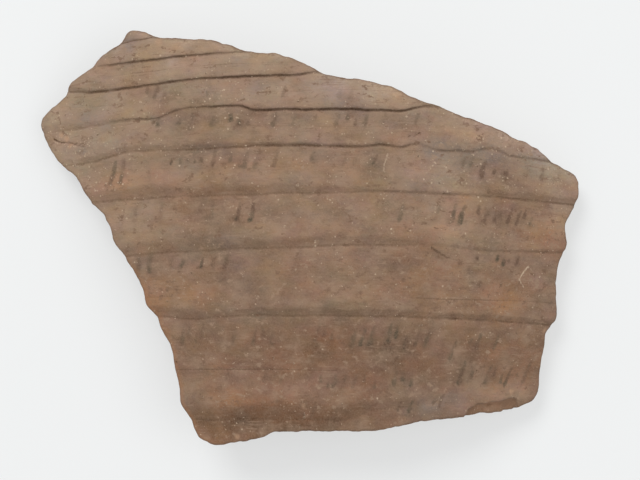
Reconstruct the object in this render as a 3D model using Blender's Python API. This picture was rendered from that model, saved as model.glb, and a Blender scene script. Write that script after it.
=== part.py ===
"""Ostracon: a broken piece of the ribbed wall of a big pottery jar.

The piece is shaped flat first, as the jar's wall unrolled: u runs round the jar, v runs up it, and
height is measured out from its mean surface.  A block with the wheel-turned ribs on top is hollowed
from the jar's inner side and cut to the broken outline.  It is then rolled to the jar's curve, and
laid down on its hollow side, where it rests on three corners of the break.

The part's frame: origin under the middle of its box, +X round the jar, +Y up the jar, +Z up.
"""

import math
import random

import bmesh
import bpy
from mathutils import Matrix, Vector

MM = 0.001

# The jar: radius of its wall at v = 0, how fast that grows going up, the radius of its bulge
# along the axis, and the thickness of the wall.
JAR_RADIUS = 135 * MM
JAR_FLARE = math.tan(math.radians(14))
JAR_BULGE = 500 * MM
WALL = 8.5 * MM
WALL_THICKENING = 0.008

# How the sherd lies: the jar's axis tipped from level, turned about it, and the feet worn flat.
REST_TILT = math.radians(10.85)
REST_ROLL = math.radians(-0.83)
FOOT_WEAR = 0.6 * MM

# Each rib of the outer side ends below in a crease.  Along the crease, from left to right: u, v,
# height of the rib, and how far above the crease its top is, all in millimetres.
RIBS = (
    ((-52, 59.3, 0.15, 0.4), (-40, 59.1, 0.12, 0.4)),
    ((-60, 52.8, 0.15, 0.5), (-52, 52.6, 0.5, 0.4), (-29, 53.2, 0.5, 0.35),
     (-18, 53.2, 0.3, 0.35)),
    ((-72, 47.6, 0.3, 2.0), (-67, 46.5, 0.5, 1.6), (-61, 45.4, 0.65, 0.7), (-38, 45.9, 0.6, 0.4),
     (-29, 46.3, 0.6, 0.35), (-4, 46.4, 0.6, 0.35), (4, 47.4, 0.4, 0.5)),
    ((-78, 36.0, 0.4, 2.5), (-64, 35.8, 0.3, 1.5), (-50, 36.15, 0.35, 0.7), (-43, 35.95, 0.45, 0.4),
     (-33, 38.1, 0.4, 0.4), (-18, 38.1, 0.6, 0.4), (-13, 36.7, 0.85, 0.35),
     (12, 36.9, 0.85, 0.35), (25, 36.95, 0.6, 0.35), (34, 38.7, 0.4, 0.6)),
    ((-74, 25.5, 0.4, 2.0), (-65, 25.3, 0.45, 1.8), (-50, 27.1, 0.45, 1.6),
     (-30, 26.4, 0.5, 1.3), (-6, 26.7, 0.6, 0.9), (15, 26.4, 0.65, 0.7), (21, 27.3, 0.6, 0.6),
     (26, 26.8, 0.5, 0.5), (31, 27.7, 0.15, 1.0), (38, 26.4, 0.4, 0.6), (46, 26.7, 0.4, 0.7),
     (53, 28.1, 0.3, 0.8), (61, 26.6, 0.35, 0.6), (72, 26.8, 0.35, 0.6)),
    ((-66, 14.0, 0.7, 3.2), (-45, 13.5, 0.75, 3.4), (-30, 13.2, 0.85, 2.8), (-12, 13.2, 0.8, 3.0),
     (26, 14.0, 0.3, 0.7), (48, 14.3, 0.35, 0.8), (66, 14.7, 0.75, 2.2), (84, 15.4, 0.7, 2.0)),
    ((-58, -2.4, 0.6, 3.0), (-36, -2.2, 0.8, 4.0), (-14, -2.0, 0.75, 3.0), (20, -0.8, 0.7, 2.8),
     (36, -0.6, 0.2, 1.2), (54, -0.9, 0.2, 0.7), (66, -0.4, 0.3, 0.7), (82, 0.9, 0.4, 1.2)),
    ((-46, -20.2, 0.8, 3.4), (-34, -21.2, 0.6, 2.2), (-16, -20.6, 0.75, 2.2),
     (18, -20.8, 0.7, 2.6), (40, -20.6, 0.6, 1.5), (64, -20.4, 0.65, 1.7), (81, -20.3, 0.6, 1.3)),
    ((-37, -49.7, 1.0, 4.5), (11, -49.7, 0.9, 4.5), (26, -46.4, 0.5, 3.0), (45, -44.6, 0.25, 2.5)),
)
GROOVE_DEPTH = 0.12 * MM
GROOVE_RUN = 0.45 * MM
RIB_BACK = 7 * MM

# A flake has come off the outer side along the bottom break: its upper edge (u, v), and its depth.
FLAKE_EDGE = ((53, -48.6), (56, -46.7), (59, -45.1), (69.5, -43.9), (71.6, -42.6), (74, -46))
FLAKE_DEPTH = 1.1 * MM
FLAKE_SLOPE = 1.2 * MM

# Inside, the potter's fingers left soft rings.
RING_PITCH = 13 * MM
RING_HEIGHT = 0.45 * MM
RING_CLIMB = 0.06

# The breaks, clockwise round the sherd seen from outside: corners (u, v) in millimetres, and how
# far the inner edge of the break stands out beyond the outer one.
BREAKS = {
    "upper_left": (0.4, (
        (-80.1, 38.7), (-79.4, 40.6), (-77.4, 42.4), (-70.3, 46), (-68.9, 48.3), (-67.8, 49.6),
        (-64.1, 51.6), (-60.1, 52.9), (-58.3, 55.2), (-56.8, 56.3), (-51.8, 58.2), (-50.2, 60.2),
        (-49.2, 61.5))),
    "top": (-0.6, (
        (-48, 62.2), (-43.9, 61.2), (-40.4, 59.1), (-24.1, 57.2), (-18.9, 54.9), (-16.5, 53.6),
        (-8.4, 52.8), (-6.2, 52.3), (-0.8, 50.1), (5, 46.8), (10.8, 45.5), (14.8, 45.6),
        (23, 43.9), (29.8, 40.8), (37.1, 39.2))),
    "top_right": (0.3, (
        (38.4, 38.3), (47.2, 35.8), (56, 33.7), (60.5, 31.7), (63.6, 31.4), (68, 29.8),
        (73.3, 26.9))),
    "right": (0.5, (
        (82.8, 24.2), (84.3, 22.2), (84.5, 19), (84.1, 15.3), (81.2, 10), (81.1, 8), (82.8, 3.8),
        (80.7, -2), (80.5, -5.3), (82.9, -17.8), (82.5, -19.5), (79.6, -22.8), (79.9, -30.6),
        (81.1, -39))),
    "bottom": (0.5, (
        (80.4, -41.6), (79.4, -43.2), (74.7, -45), (68, -46.7), (60.5, -47.2), (50.6, -48.9),
        (38, -50), (33.6, -50.8), (28, -52), (22.5, -52.9), (-10.5, -53.3), (-15.6, -55.2),
        (-24.2, -56.4), (-31, -57), (-35.1, -55.7))),
    "left": (0.9, (
        (-36.5, -54.8), (-37.5, -51.7), (-40.7, -44.4), (-42.2, -31.3), (-42.5, -28),
        (-45.2, -23.7), (-46.1, -20.2), (-48.9, -16.8), (-49.7, -13), (-52.2, -7), (-54.3, -3.4),
        (-58.4, 2.6), (-58.5, 5.6), (-60.6, 9.8), (-64.7, 13.4), (-66.1, 17), (-69.6, 22.6),
        (-74.3, 26.3), (-77.1, 30.6), (-79.2, 34), (-80.3, 36.6))),
}
BREAK_STEP = 3.5 * MM
BREAK_ROUGHNESS = 0.22 * MM
BREAK_LEVELS = (0.15, 0.4, 0.7)

# The block that the sherd is cut from, and how closely its sides follow the wall.
BLOCK_LEFT = -90 * MM
BLOCK_RIGHT = 93 * MM
BLOCK_TOP = 68 * MM
BLOCK_BOTTOM = -63 * MM
BLOCK_DEPTH = 15 * MM
COLUMN_WIDTH = 3.2 * MM
ROW_HEIGHT = 4.6 * MM
INNER_CELL = 5.5 * MM
CLEARANCE = 6 * MM

CLAY_COLOUR = (0.266, 0.175, 0.122, 1.0)


def clear_scene():
    for old in list(bpy.data.objects):
        bpy.data.objects.remove(old, do_unlink=True)


def new_collection(name):
    collection = bpy.data.collections.new(name)
    bpy.context.scene.collection.children.link(collection)
    return collection


def fired_clay():
    clay = bpy.data.materials.new("fired_clay")
    clay.use_nodes = True
    shader = clay.node_tree.nodes["Principled BSDF"]
    shader.inputs["Base Color"].default_value = CLAY_COLOUR
    shader.inputs["Roughness"].default_value = 0.92
    shader.inputs["Metallic"].default_value = 0.0
    return clay


def add_object(name, bm, collection):
    """Turn a bmesh into an object, with all its faces pointing out."""
    bmesh.ops.recalc_face_normals(bm, faces=bm.faces)
    mesh = bpy.data.meshes.new(name)
    bm.to_mesh(mesh)
    bm.free()
    thing = bpy.data.objects.new(name, mesh)
    collection.objects.link(thing)
    return thing


def add_boolean(thing, operation, cutter):
    cut = thing.modifiers.new(cutter.name, "BOOLEAN")
    cut.operation = operation
    cut.solver = "EXACT"
    cut.object = cutter


def ease(t):
    """Go from 0 to 1 with level ends."""
    t = min(max(t, 0.0), 1.0)
    return t * t * (3 - 2 * t)


def crease_at(rib, u):
    """The rib's crease at u, in metres: its v, the rib's height and how far above it the top is."""
    x = u / MM
    if x <= rib[0][0]:
        return [value * MM for value in rib[0][1:]]
    for left, right in zip(rib, rib[1:]):
        if x <= right[0]:
            part = ease((x - left[0]) / (right[0] - left[0]))
            return [(a + (b - a) * part) * MM for a, b in zip(left[1:], right[1:])]
    return [value * MM for value in rib[-1][1:]]


def rib_height(s, height, run):
    """Height of one rib at s above its crease: a groove, a front, a top and a long back."""
    if s < -GROOVE_RUN:
        return 0.0
    if s < 0:
        return -GROOVE_DEPTH * ease(1 + s / GROOVE_RUN)
    if s < run:
        return -GROOVE_DEPTH + (height + GROOVE_DEPTH) * s / run
    return height * ease(1 - (s - run) / RIB_BACK)


def flake_depth(u, v):
    """How much the lost flake lowers the outer side at (u, v)."""
    edge = [(x * MM, y * MM) for x, y in FLAKE_EDGE]
    if not edge[0][0] < u < edge[-1][0]:
        return 0.0
    for (x0, y0), (x1, y1) in zip(edge, edge[1:]):
        if u <= x1:
            below = y0 + (y1 - y0) * (u - x0) / (x1 - x0) - v
            return FLAKE_DEPTH * ease(below / FLAKE_SLOPE)
    return 0.0


def outer_height(u, v):
    """Height of the outer side above the jar's mean surface."""
    total = -flake_depth(u, v)
    for rib in RIBS:
        crease, height, run = crease_at(rib, u)
        total += rib_height(v - crease, height, run)
    return total


def inner_height(u, v):
    """Height of the inner side, which is below the outer one by the thickness of the wall."""
    turn = 2 * math.pi * (v + RING_CLIMB * u) / RING_PITCH
    return -WALL + WALL_THICKENING * v + RING_HEIGHT * math.sin(turn)


def row_gaps():
    """How many plain rows fill the block below each rib's groove at the crown, and above them."""
    low = BLOCK_BOTTOM
    counts = []
    for rib in reversed(RIBS):
        crease, _height, run = crease_at(rib, 0.0)
        counts.append(max(round((crease - GROOVE_RUN - low) / ROW_HEIGHT) - 1, 0))
        low = crease + run
    return counts + [1]


def row_lines(u, gaps):
    """Where the block's rows cross the column at u: on each groove, crease and top."""
    lines = [BLOCK_BOTTOM]
    for rib, count in zip(reversed(RIBS), gaps):
        crease, _height, run = crease_at(rib, u)
        lines += between(lines[-1], crease - GROOVE_RUN, count)
        lines += [crease - GROOVE_RUN, crease, crease + run]
    return lines + between(lines[-1], BLOCK_TOP, gaps[-1]) + [BLOCK_TOP]


def between(low, high, count):
    return [low + (high - low) * (i + 1) / (count + 1) for i in range(count)]


def grid(columns, rows):
    """A flat grid whose points know their column and row: u and v run from 0 to 1."""
    bm = bmesh.new()
    bmesh.ops.create_grid(bm, x_segments=columns, y_segments=rows, size=0.5)
    for point in bm.verts:
        point.co += Vector((0.5, 0.5, 0))
    return bm


def thicken_down(bm, bottom):
    """Close an open surface into a block with a flat underside."""
    grown = bmesh.ops.extrude_face_region(bm, geom=list(bm.faces), use_keep_orig=True)
    for item in grown["geom"]:
        if isinstance(item, bmesh.types.BMVert):
            item.co.z = bottom


def wall_block(collection):
    """The block whose upper side is the jar's outer side, unrolled."""
    gaps = row_gaps()
    rows = len(row_lines(0.0, gaps)) - 1
    columns = round((BLOCK_RIGHT - BLOCK_LEFT) / COLUMN_WIDTH)
    bm = grid(columns, rows)
    for point in bm.verts:
        u = BLOCK_LEFT + (BLOCK_RIGHT - BLOCK_LEFT) * point.co.x
        v = row_lines(u, gaps)[round(point.co.y * rows)]
        point.co = (u, v, outer_height(u, v))
    thicken_down(bm, -BLOCK_DEPTH)
    return add_object("wall_block", bm, collection)


def jar_hollow(collection):
    """The cutter whose upper side is the jar's inner side, unrolled."""
    width = BLOCK_RIGHT - BLOCK_LEFT + 2 * CLEARANCE
    height = BLOCK_TOP - BLOCK_BOTTOM + 2 * CLEARANCE
    bm = grid(round(width / INNER_CELL), round(height / INNER_CELL))
    for point in bm.verts:
        u = BLOCK_LEFT - CLEARANCE + width * point.co.x
        v = BLOCK_BOTTOM - CLEARANCE + height * point.co.y
        point.co = (u, v, inner_height(u, v))
    thicken_down(bm, -BLOCK_DEPTH - CLEARANCE)
    return add_object("jar_hollow", bm, collection)


def break_line():
    """The outline in short steps, slightly ragged: points, and how far the break slants out."""
    rng = random.Random(7)
    corners = [(Vector((x, y)) * MM, slant * MM) for slant, run in BREAKS.values() for x, y in run]
    line = []
    for (start, slant), (end, next_slant) in zip(corners, corners[1:] + corners[:1]):
        steps = max(round((end - start).length / BREAK_STEP), 1)
        for i in range(steps):
            point = start.lerp(end, i / steps)
            if i:
                point += Vector((rng.uniform(-1, 1), rng.uniform(-1, 1))) * BREAK_ROUGHNESS
            line.append((point, slant + (next_slant - slant) * i / steps))
    return line


def break_ring(line, level, rng):
    """One level of the break, from the outer side (0) to the inner one (1), moved outwards."""
    ring = []
    for i, (point, slant) in enumerate(line):
        along = line[(i + 1) % len(line)][0] - line[i - 1][0]
        outward = Vector((-along.y, along.x)).normalized()
        roughness = rng.uniform(-1, 1) * BREAK_ROUGHNESS if level > 0 else 0.0
        ring.append(point + outward * (slant * level + roughness))
    return ring


def break_cutter(collection):
    """A prism through the wall with the sherd's outline and slanting, uneven sides."""
    rng = random.Random(11)
    line = break_line()
    levels = [(CLEARANCE, 0.0), (-WALL * BREAK_LEVELS[0], 0.0)]
    levels += [(-WALL * level, level) for level in BREAK_LEVELS[1:]]
    levels.append((-BLOCK_DEPTH - CLEARANCE / 2, 1.0))
    bm = bmesh.new()
    rings = []
    for height, level in levels:
        points = break_ring(line, level, rng)
        rings.append([bm.verts.new((p.x, p.y, height)) for p in points])
    for upper, lower in zip(rings, rings[1:]):
        for i in range(len(line)):
            bm.faces.new((upper[i - 1], upper[i], lower[i], lower[i - 1]))
    bm.faces.new(rings[0])
    bm.faces.new(rings[-1])
    return add_object("break_cutter", bm, collection)


def on_jar(u, v, height):
    """Where a point of the unrolled wall is on the jar, whose axis lies along Y."""
    radius = JAR_RADIUS + JAR_FLARE * v - v * v / (2 * JAR_BULGE)
    slope = JAR_FLARE - v / JAR_BULGE
    normal = Vector((1, -slope)).normalized() * height
    turn = u / JAR_RADIUS
    radius += normal.x
    return Vector((radius * math.sin(turn), v + normal.y, radius * math.cos(turn)))


def rolled_sherd(flat, clay, collection):
    """Roll the flat sherd to the jar's curve and lay it down, just below the surface it lies on."""
    depsgraph = bpy.context.evaluated_depsgraph_get()
    bm = bmesh.new()
    bm.from_mesh(flat.evaluated_get(depsgraph).to_mesh())
    bmesh.ops.triangulate(bm, faces=bm.faces)
    for point in bm.verts:
        point.co = on_jar(*point.co)
    lie = Matrix.Rotation(REST_ROLL, 4, "Y") @ Matrix.Rotation(-REST_TILT, 4, "X")
    bm.transform(lie)
    low = Vector([min(point.co[axis] for point in bm.verts) for axis in range(3)])
    high = Vector([max(point.co[axis] for point in bm.verts) for axis in range(3)])
    middle = (low + high) / 2
    bm.transform(Matrix.Translation((-middle.x, -middle.y, -low.z - FOOT_WEAR)))
    sherd = add_object("sherd", bm, collection)
    sherd.data.materials.append(clay)
    return sherd


def resting_surface(collection):
    """The cutter that wears the three feet flat at z = 0."""
    bpy.ops.mesh.primitive_cube_add(size=1, location=(0, 0, -CLEARANCE / 2))
    surface = bpy.context.active_object
    surface.name = "resting_surface"
    surface.scale = (0.3, 0.3, CLEARANCE)
    for old in surface.users_collection:
        old.objects.unlink(surface)
    collection.objects.link(surface)
    return surface


def main():
    clear_scene()
    parts = new_collection("ostracon")
    cutters = new_collection("cutters")
    flat = wall_block(cutters)
    add_boolean(flat, "DIFFERENCE", jar_hollow(cutters))
    add_boolean(flat, "INTERSECT", break_cutter(cutters))
    sherd = rolled_sherd(flat, fired_clay(), parts)
    add_boolean(sherd, "DIFFERENCE", resting_surface(cutters))
    for cutter in cutters.objects:
        cutter.hide_render = True
        cutter.display_type = "WIRE"


main()
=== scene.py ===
"""Ostracon: the fine surface of the sherd, its clay, breaks and ink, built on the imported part.

The sherd is worked out as in the part's source: flat first, as the jar's wall unrolled, where u runs
round the jar, v runs up it and height is measured out from its mean surface, all in millimetres.
It is then rolled to the jar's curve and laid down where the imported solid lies.
"""

import itertools
import math
import random
from types import SimpleNamespace

import bpy
import numpy as np
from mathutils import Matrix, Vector
from mathutils.geometry import delaunay_2d_cdt
from mathutils.kdtree import KDTree


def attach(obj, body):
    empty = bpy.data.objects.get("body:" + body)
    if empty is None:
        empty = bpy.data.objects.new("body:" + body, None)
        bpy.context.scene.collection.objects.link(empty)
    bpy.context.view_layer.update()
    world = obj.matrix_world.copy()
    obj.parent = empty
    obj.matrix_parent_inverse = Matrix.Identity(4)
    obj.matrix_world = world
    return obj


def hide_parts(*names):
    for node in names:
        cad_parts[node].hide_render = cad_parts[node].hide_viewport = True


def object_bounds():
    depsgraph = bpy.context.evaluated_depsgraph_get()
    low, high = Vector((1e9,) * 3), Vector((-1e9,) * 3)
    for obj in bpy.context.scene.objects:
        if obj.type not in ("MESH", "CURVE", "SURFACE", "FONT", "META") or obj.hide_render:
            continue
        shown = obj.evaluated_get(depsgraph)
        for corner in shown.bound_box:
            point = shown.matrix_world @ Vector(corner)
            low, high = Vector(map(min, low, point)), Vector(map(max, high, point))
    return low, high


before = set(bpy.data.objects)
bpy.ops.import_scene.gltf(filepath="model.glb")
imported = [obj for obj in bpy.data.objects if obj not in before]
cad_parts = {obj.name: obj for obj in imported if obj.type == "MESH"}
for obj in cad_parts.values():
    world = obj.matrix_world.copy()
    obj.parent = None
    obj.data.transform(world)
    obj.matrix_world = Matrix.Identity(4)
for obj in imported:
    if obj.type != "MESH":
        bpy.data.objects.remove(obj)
CAD_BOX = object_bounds()
MM = 0.001

# The jar, and how the sherd lies: the same values as in the part's source.
JAR_RADIUS = 135.0
JAR_FLARE = math.tan(math.radians(14))
JAR_BULGE = 500.0
WALL = 8.5
WALL_THICKENING = 0.008
REST_TILT = math.radians(10.85)
REST_ROLL = math.radians(-0.83)
JAR_PLACE = (0.71, -26.27, -101.67)

# Each rib of the outer side ends below in a crease.  Along the crease, from left to right: u, v,
# height of the rib, and how far above the crease its top is.
RIBS = (
    ((-52, 59.3, 0.15, 0.4), (-40, 59.1, 0.12, 0.4)),
    ((-60, 52.8, 0.15, 0.5), (-52, 52.6, 0.5, 0.4), (-29, 53.2, 0.5, 0.35),
     (-18, 53.2, 0.3, 0.35)),
    ((-72, 47.6, 0.3, 2.0), (-67, 46.5, 0.5, 1.6), (-61, 45.4, 0.65, 0.7), (-38, 45.9, 0.6, 0.4),
     (-29, 46.3, 0.6, 0.35), (-4, 46.4, 0.6, 0.35), (4, 47.4, 0.4, 0.5)),
    ((-78, 36.0, 0.4, 2.5), (-64, 35.8, 0.3, 1.5), (-50, 36.15, 0.35, 0.7), (-43, 35.95, 0.45, 0.4),
     (-33, 38.1, 0.4, 0.4), (-18, 38.1, 0.6, 0.4), (-13, 36.7, 0.85, 0.35),
     (12, 36.9, 0.85, 0.35), (25, 36.95, 0.6, 0.35), (34, 38.7, 0.4, 0.6)),
    ((-74, 25.5, 0.4, 2.0), (-65, 25.3, 0.45, 1.8), (-50, 27.1, 0.45, 1.6),
     (-30, 26.4, 0.5, 1.3), (-6, 26.7, 0.6, 0.9), (15, 26.4, 0.65, 0.7), (21, 27.3, 0.6, 0.6),
     (26, 26.8, 0.5, 0.5), (31, 27.7, 0.15, 1.0), (38, 26.4, 0.4, 0.6), (46, 26.7, 0.4, 0.7),
     (53, 28.1, 0.3, 0.8), (61, 26.6, 0.35, 0.6), (72, 26.8, 0.35, 0.6)),
    ((-66, 14.0, 0.7, 3.2), (-45, 13.5, 0.75, 3.4), (-30, 13.2, 0.85, 2.8), (-12, 13.2, 0.8, 3.0),
     (26, 14.0, 0.3, 0.7), (48, 14.3, 0.35, 0.8), (66, 14.7, 0.75, 2.2), (84, 15.4, 0.7, 2.0)),
    ((-58, -2.4, 0.6, 3.0), (-36, -2.2, 0.8, 4.0), (-14, -2.0, 0.75, 3.0), (20, -0.8, 0.7, 2.8),
     (36, -0.6, 0.2, 1.2), (54, -0.9, 0.2, 0.7), (66, -0.4, 0.3, 0.7), (82, 0.9, 0.4, 1.2)),
    ((-46, -20.2, 0.8, 3.4), (-34, -21.2, 0.6, 2.2), (-16, -20.6, 0.75, 2.2),
     (18, -20.8, 0.7, 2.6), (40, -20.6, 0.6, 1.5), (64, -20.4, 0.65, 1.7), (81, -20.3, 0.6, 1.3)),
    ((-37, -49.7, 1.0, 4.5), (11, -49.7, 0.9, 4.5), (26, -46.4, 0.5, 3.0), (45, -44.6, 0.25, 2.5)),
)
GROOVE_DEPTH = 0.12
GROOVE_RUN = 0.45
RIB_BACK = 7.0
FRONT_FLATNESS = 0.8

# Hair lines that a grain dragged by the potter's tool cut into the turning wall: u, v, depth.
HAIR_LINES = (
    ((-60, -14.4, 0.05), (-42, -14.5, 0.10), (-34, -14.6, 0.03), (24, -15.2, 0.03),
     (38, -15.3, 0.13), (82, -14.0, 0.10)),
    ((-46, -35.3, 0.12), (-10, -35.8, 0.14), (8, -36.1, 0.10), (20, -36.2, 0.0)),
)
HAIR_WIDTH = 0.3

# A flake has come off the outer side along the bottom break: its upper edge (u, v), and its depth.
FLAKE_EDGE = ((53.6, -48.6), (55.0, -45.8), (57.6, -44.2), (66.5, -43.2), (71.2, -41.9), (72.6, -42.6),
              (74.6, -46))
FLAKE_DEPTH = 1.1
FLAKE_SLOPE = 0.7

# Inside, the potter's fingers left soft rings.
RING_PITCH = 13.0
RING_HEIGHT = 0.45
RING_CLIMB = 0.06

# Layers of roughness: how much u counts (below 1 the lumps are drawn out round the jar), height,
# size of the lumps, seed and octaves.  The rib layers change a rib's height and run by a share, and
# the step keeps the ribs unlike each other.
OUTER_LUMPS = ((0.35, 0.22, 9.0, 1, 2), (1, 0.05, 2.6, 3, 3), (0.12, 0.05, 1.6, 5, 2), (1, 0.04, 0.9, 8, 1))
DRAGGED_LUMPS = ((0.08, 0.12, 3.0, 71, 3),)
INNER_LUMPS = ((1, 0.1, 6.0, 75, 3),)
CREASE_WANDER = ((1, 0.16, 6.0, 31, 1), (1, 0.1, 2.1, 32, 1), (1, 0.06, 0.9, 36, 1))
RIB_HEIGHT_LUMPS = ((1, 0.15, 8.0, 33, 1), (1, 0.25, 2.4, 34, 1))
RIB_RUN_LUMPS = ((1, 0.15, 6.0, 35, 1),)
RIB_STEP = 10.0
FLAKE_RAGGED = ((1, 0.3, 1.6, 55, 1),)
FLAKE_FLOOR = ((1, 0.3, 2.0, 9, 3),)
OUTLINE_RAGGED = ((1, 0.16, 4.0, 21, 2), (1, 0.12, 2.0, 24, 1), (1, 0.08, 1.1, 25, 1))
BREAK_CRUMBS = ((1, 0.4, 9.0, 61, 1), (1, 0.3, 2.6, 62, 3), (1, 0.14, 1.2, 67, 1))
RIM_WEAR = ((1, 0.15, 3.0, 66, 1),)
PATCH_DRIFT_U = ((1, 2.5, 9.0, 81, 3), (1, 1.2, 2.5, 82, 1))
PATCH_DRIFT_V = ((1, 1.8, 9.0, 85, 3), (1, 0.9, 2.5, 86, 1))

# The breaks, clockwise round the sherd seen from outside: how far the inner edge of the break
# stands out beyond the outer one, and corners (u, v).
BREAKS = {
    "upper_left": (0.4, (
        (-80.1, 38.7), (-79.4, 40.6), (-77.4, 42.4), (-70.3, 46), (-68.9, 48.3), (-67.8, 49.6),
        (-64.1, 51.6), (-60.1, 52.9), (-58.3, 55.2), (-56.8, 56.3), (-51.8, 58.2), (-50.2, 60.2),
        (-49.2, 61.5))),
    "top": (-0.6, (
        (-48, 62.2), (-43.9, 61.2), (-40.4, 59.1), (-24.1, 57.2), (-18.9, 54.9), (-16.5, 53.6),
        (-8.4, 52.8), (-6.2, 52.3), (-0.8, 50.1), (5, 46.8), (10.8, 45.5), (14.8, 45.6),
        (23, 43.9), (29.8, 40.8), (37.1, 39.2))),
    "top_right": (0.3, (
        (38.4, 38.3), (47.2, 35.8), (56, 33.7), (60.5, 31.7), (63.6, 31.4), (68, 29.8),
        (73.3, 26.9))),
    "right": (0.5, (
        (82.8, 24.2), (84.3, 22.2), (84.5, 19), (84.1, 15.3), (81.2, 10), (81.1, 8), (82.8, 3.8),
        (80.7, -2), (80.5, -5.3), (82.9, -17.8), (82.5, -19.5), (79.6, -22.8), (79.9, -30.6),
        (81.1, -39))),
    "bottom": (0.5, (
        (80.4, -41.6), (79.4, -43.2), (74.7, -45), (68, -46.7), (60.5, -47.2), (50.6, -48.9),
        (38, -50), (33.6, -50.8), (28, -52), (22.5, -52.9), (-10.5, -53.3), (-15.6, -55.2),
        (-24.2, -56.4), (-31, -57), (-35.1, -55.7))),
    "left": (0.9, (
        (-36.5, -54.8), (-37.5, -51.7), (-40.7, -44.4), (-42.2, -31.3), (-42.5, -28),
        (-45.2, -23.7), (-46.1, -20.2), (-48.9, -16.8), (-49.7, -13), (-52.2, -7), (-54.3, -3.4),
        (-58.4, 2.6), (-58.5, 5.6), (-60.6, 9.8), (-64.7, 13.4), (-66.1, 17), (-69.6, 22.6),
        (-74.3, 26.3), (-77.1, 30.6), (-79.2, 34), (-80.3, 36.6))),
}

# Cracks and scratches: half width, depth, paleness, then places (u, v) along each.
CUTS = (
    (0.28, 0.25, -1, ((-76, 33.9), (-73.4, 32.5), (-70.1, 32.1), (-67.5, 30.9), (-65.2, 30.2))),
    (0.20, 0.08, -0.7, ((-68, 31.6), (-64, 31))),
    (0.22, 0.08, -0.8, ((-51.2, 58.7), (-47.5, 59.1), (-44.5, 59.1), (-41.8, 59.4))),
    (0.25, 0.20, -0.9, ((28.5, 29.9), (30.6, 30.2), (31.6, 31.2), (33, 31.3))),
    (0.20, 0.05, -0.4, ((33, 31.3), (33.6, 32.6), (34.3, 34.5))),
    (0.40, 0.12, -0.8, ((37, -1), (39.5, -2.3), (42.1, -3.6), (45.3, -4))),
    (0.28, 0.04, 1, ((69.2, -4.2), (66.6, -8.1), (69.4, -10.9))),
    (0.20, 0.04, 0.6, ((69.2, -4.2), (71.5, -5.4))),
    (0.30, 0.15, -0.8, ((-42.6, 34.9), (-41.4, 35.5))),
    (0.25, 0.05, -0.5, ((41.8, -45.2), (43.6, -43.4), (45.8, -41.6))),
    (0.28, 0.02, 0.7, ((23, 24.8), (22.1, 22.2), (21.8, 19.6))),
    (0.22, 0.06, -0.6, ((-32.1, -49), (-27, -49.2))),
    (0.26, 0.10, -0.9, ((-22.9, -49.3), (-19, -49.5), (-15.6, -49.5))),
    (0.20, 0.06, -0.7, ((-9.4, -49.4), (-5, -49.6), (2, -49.7))),
    (0.20, 0.05, -0.6, ((-19.8, -50.9), (-17.6, -50.7))),
    (0.30, 0.20, -0.6, ((62.6, -44.9), (64.2, -44.4))),
)

# How finely the mesh follows all this, and how the breaks are worn.
EDGE_STEP = 0.52
COLUMN_WIDTH = 0.53
ROW_HEIGHT = 0.55
INNER_CELL = 1.2
BREAK_ROWS = 14
RAGGED_SHARE = 0.35
RIM_SHARE = 0.04
RIM_WORN = 0.2
CRUMB_SPAN = 0.94
OUTLINE_SMOOTHINGS = 3
GRID_LEFT, GRID_RIGHT = -84.0, 88.0
GRID_BOTTOM, GRID_TOP = -60.0, 66.0
GROOVE_STEPS = (-1, -0.66, -0.33)
FRONT_STEPS = (0, 0.12, 0.28, 0.45, 0.62, 0.8, 1.0)
HAIR_STEPS = (-1, -0.45, 0, 0.45, 1)

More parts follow.
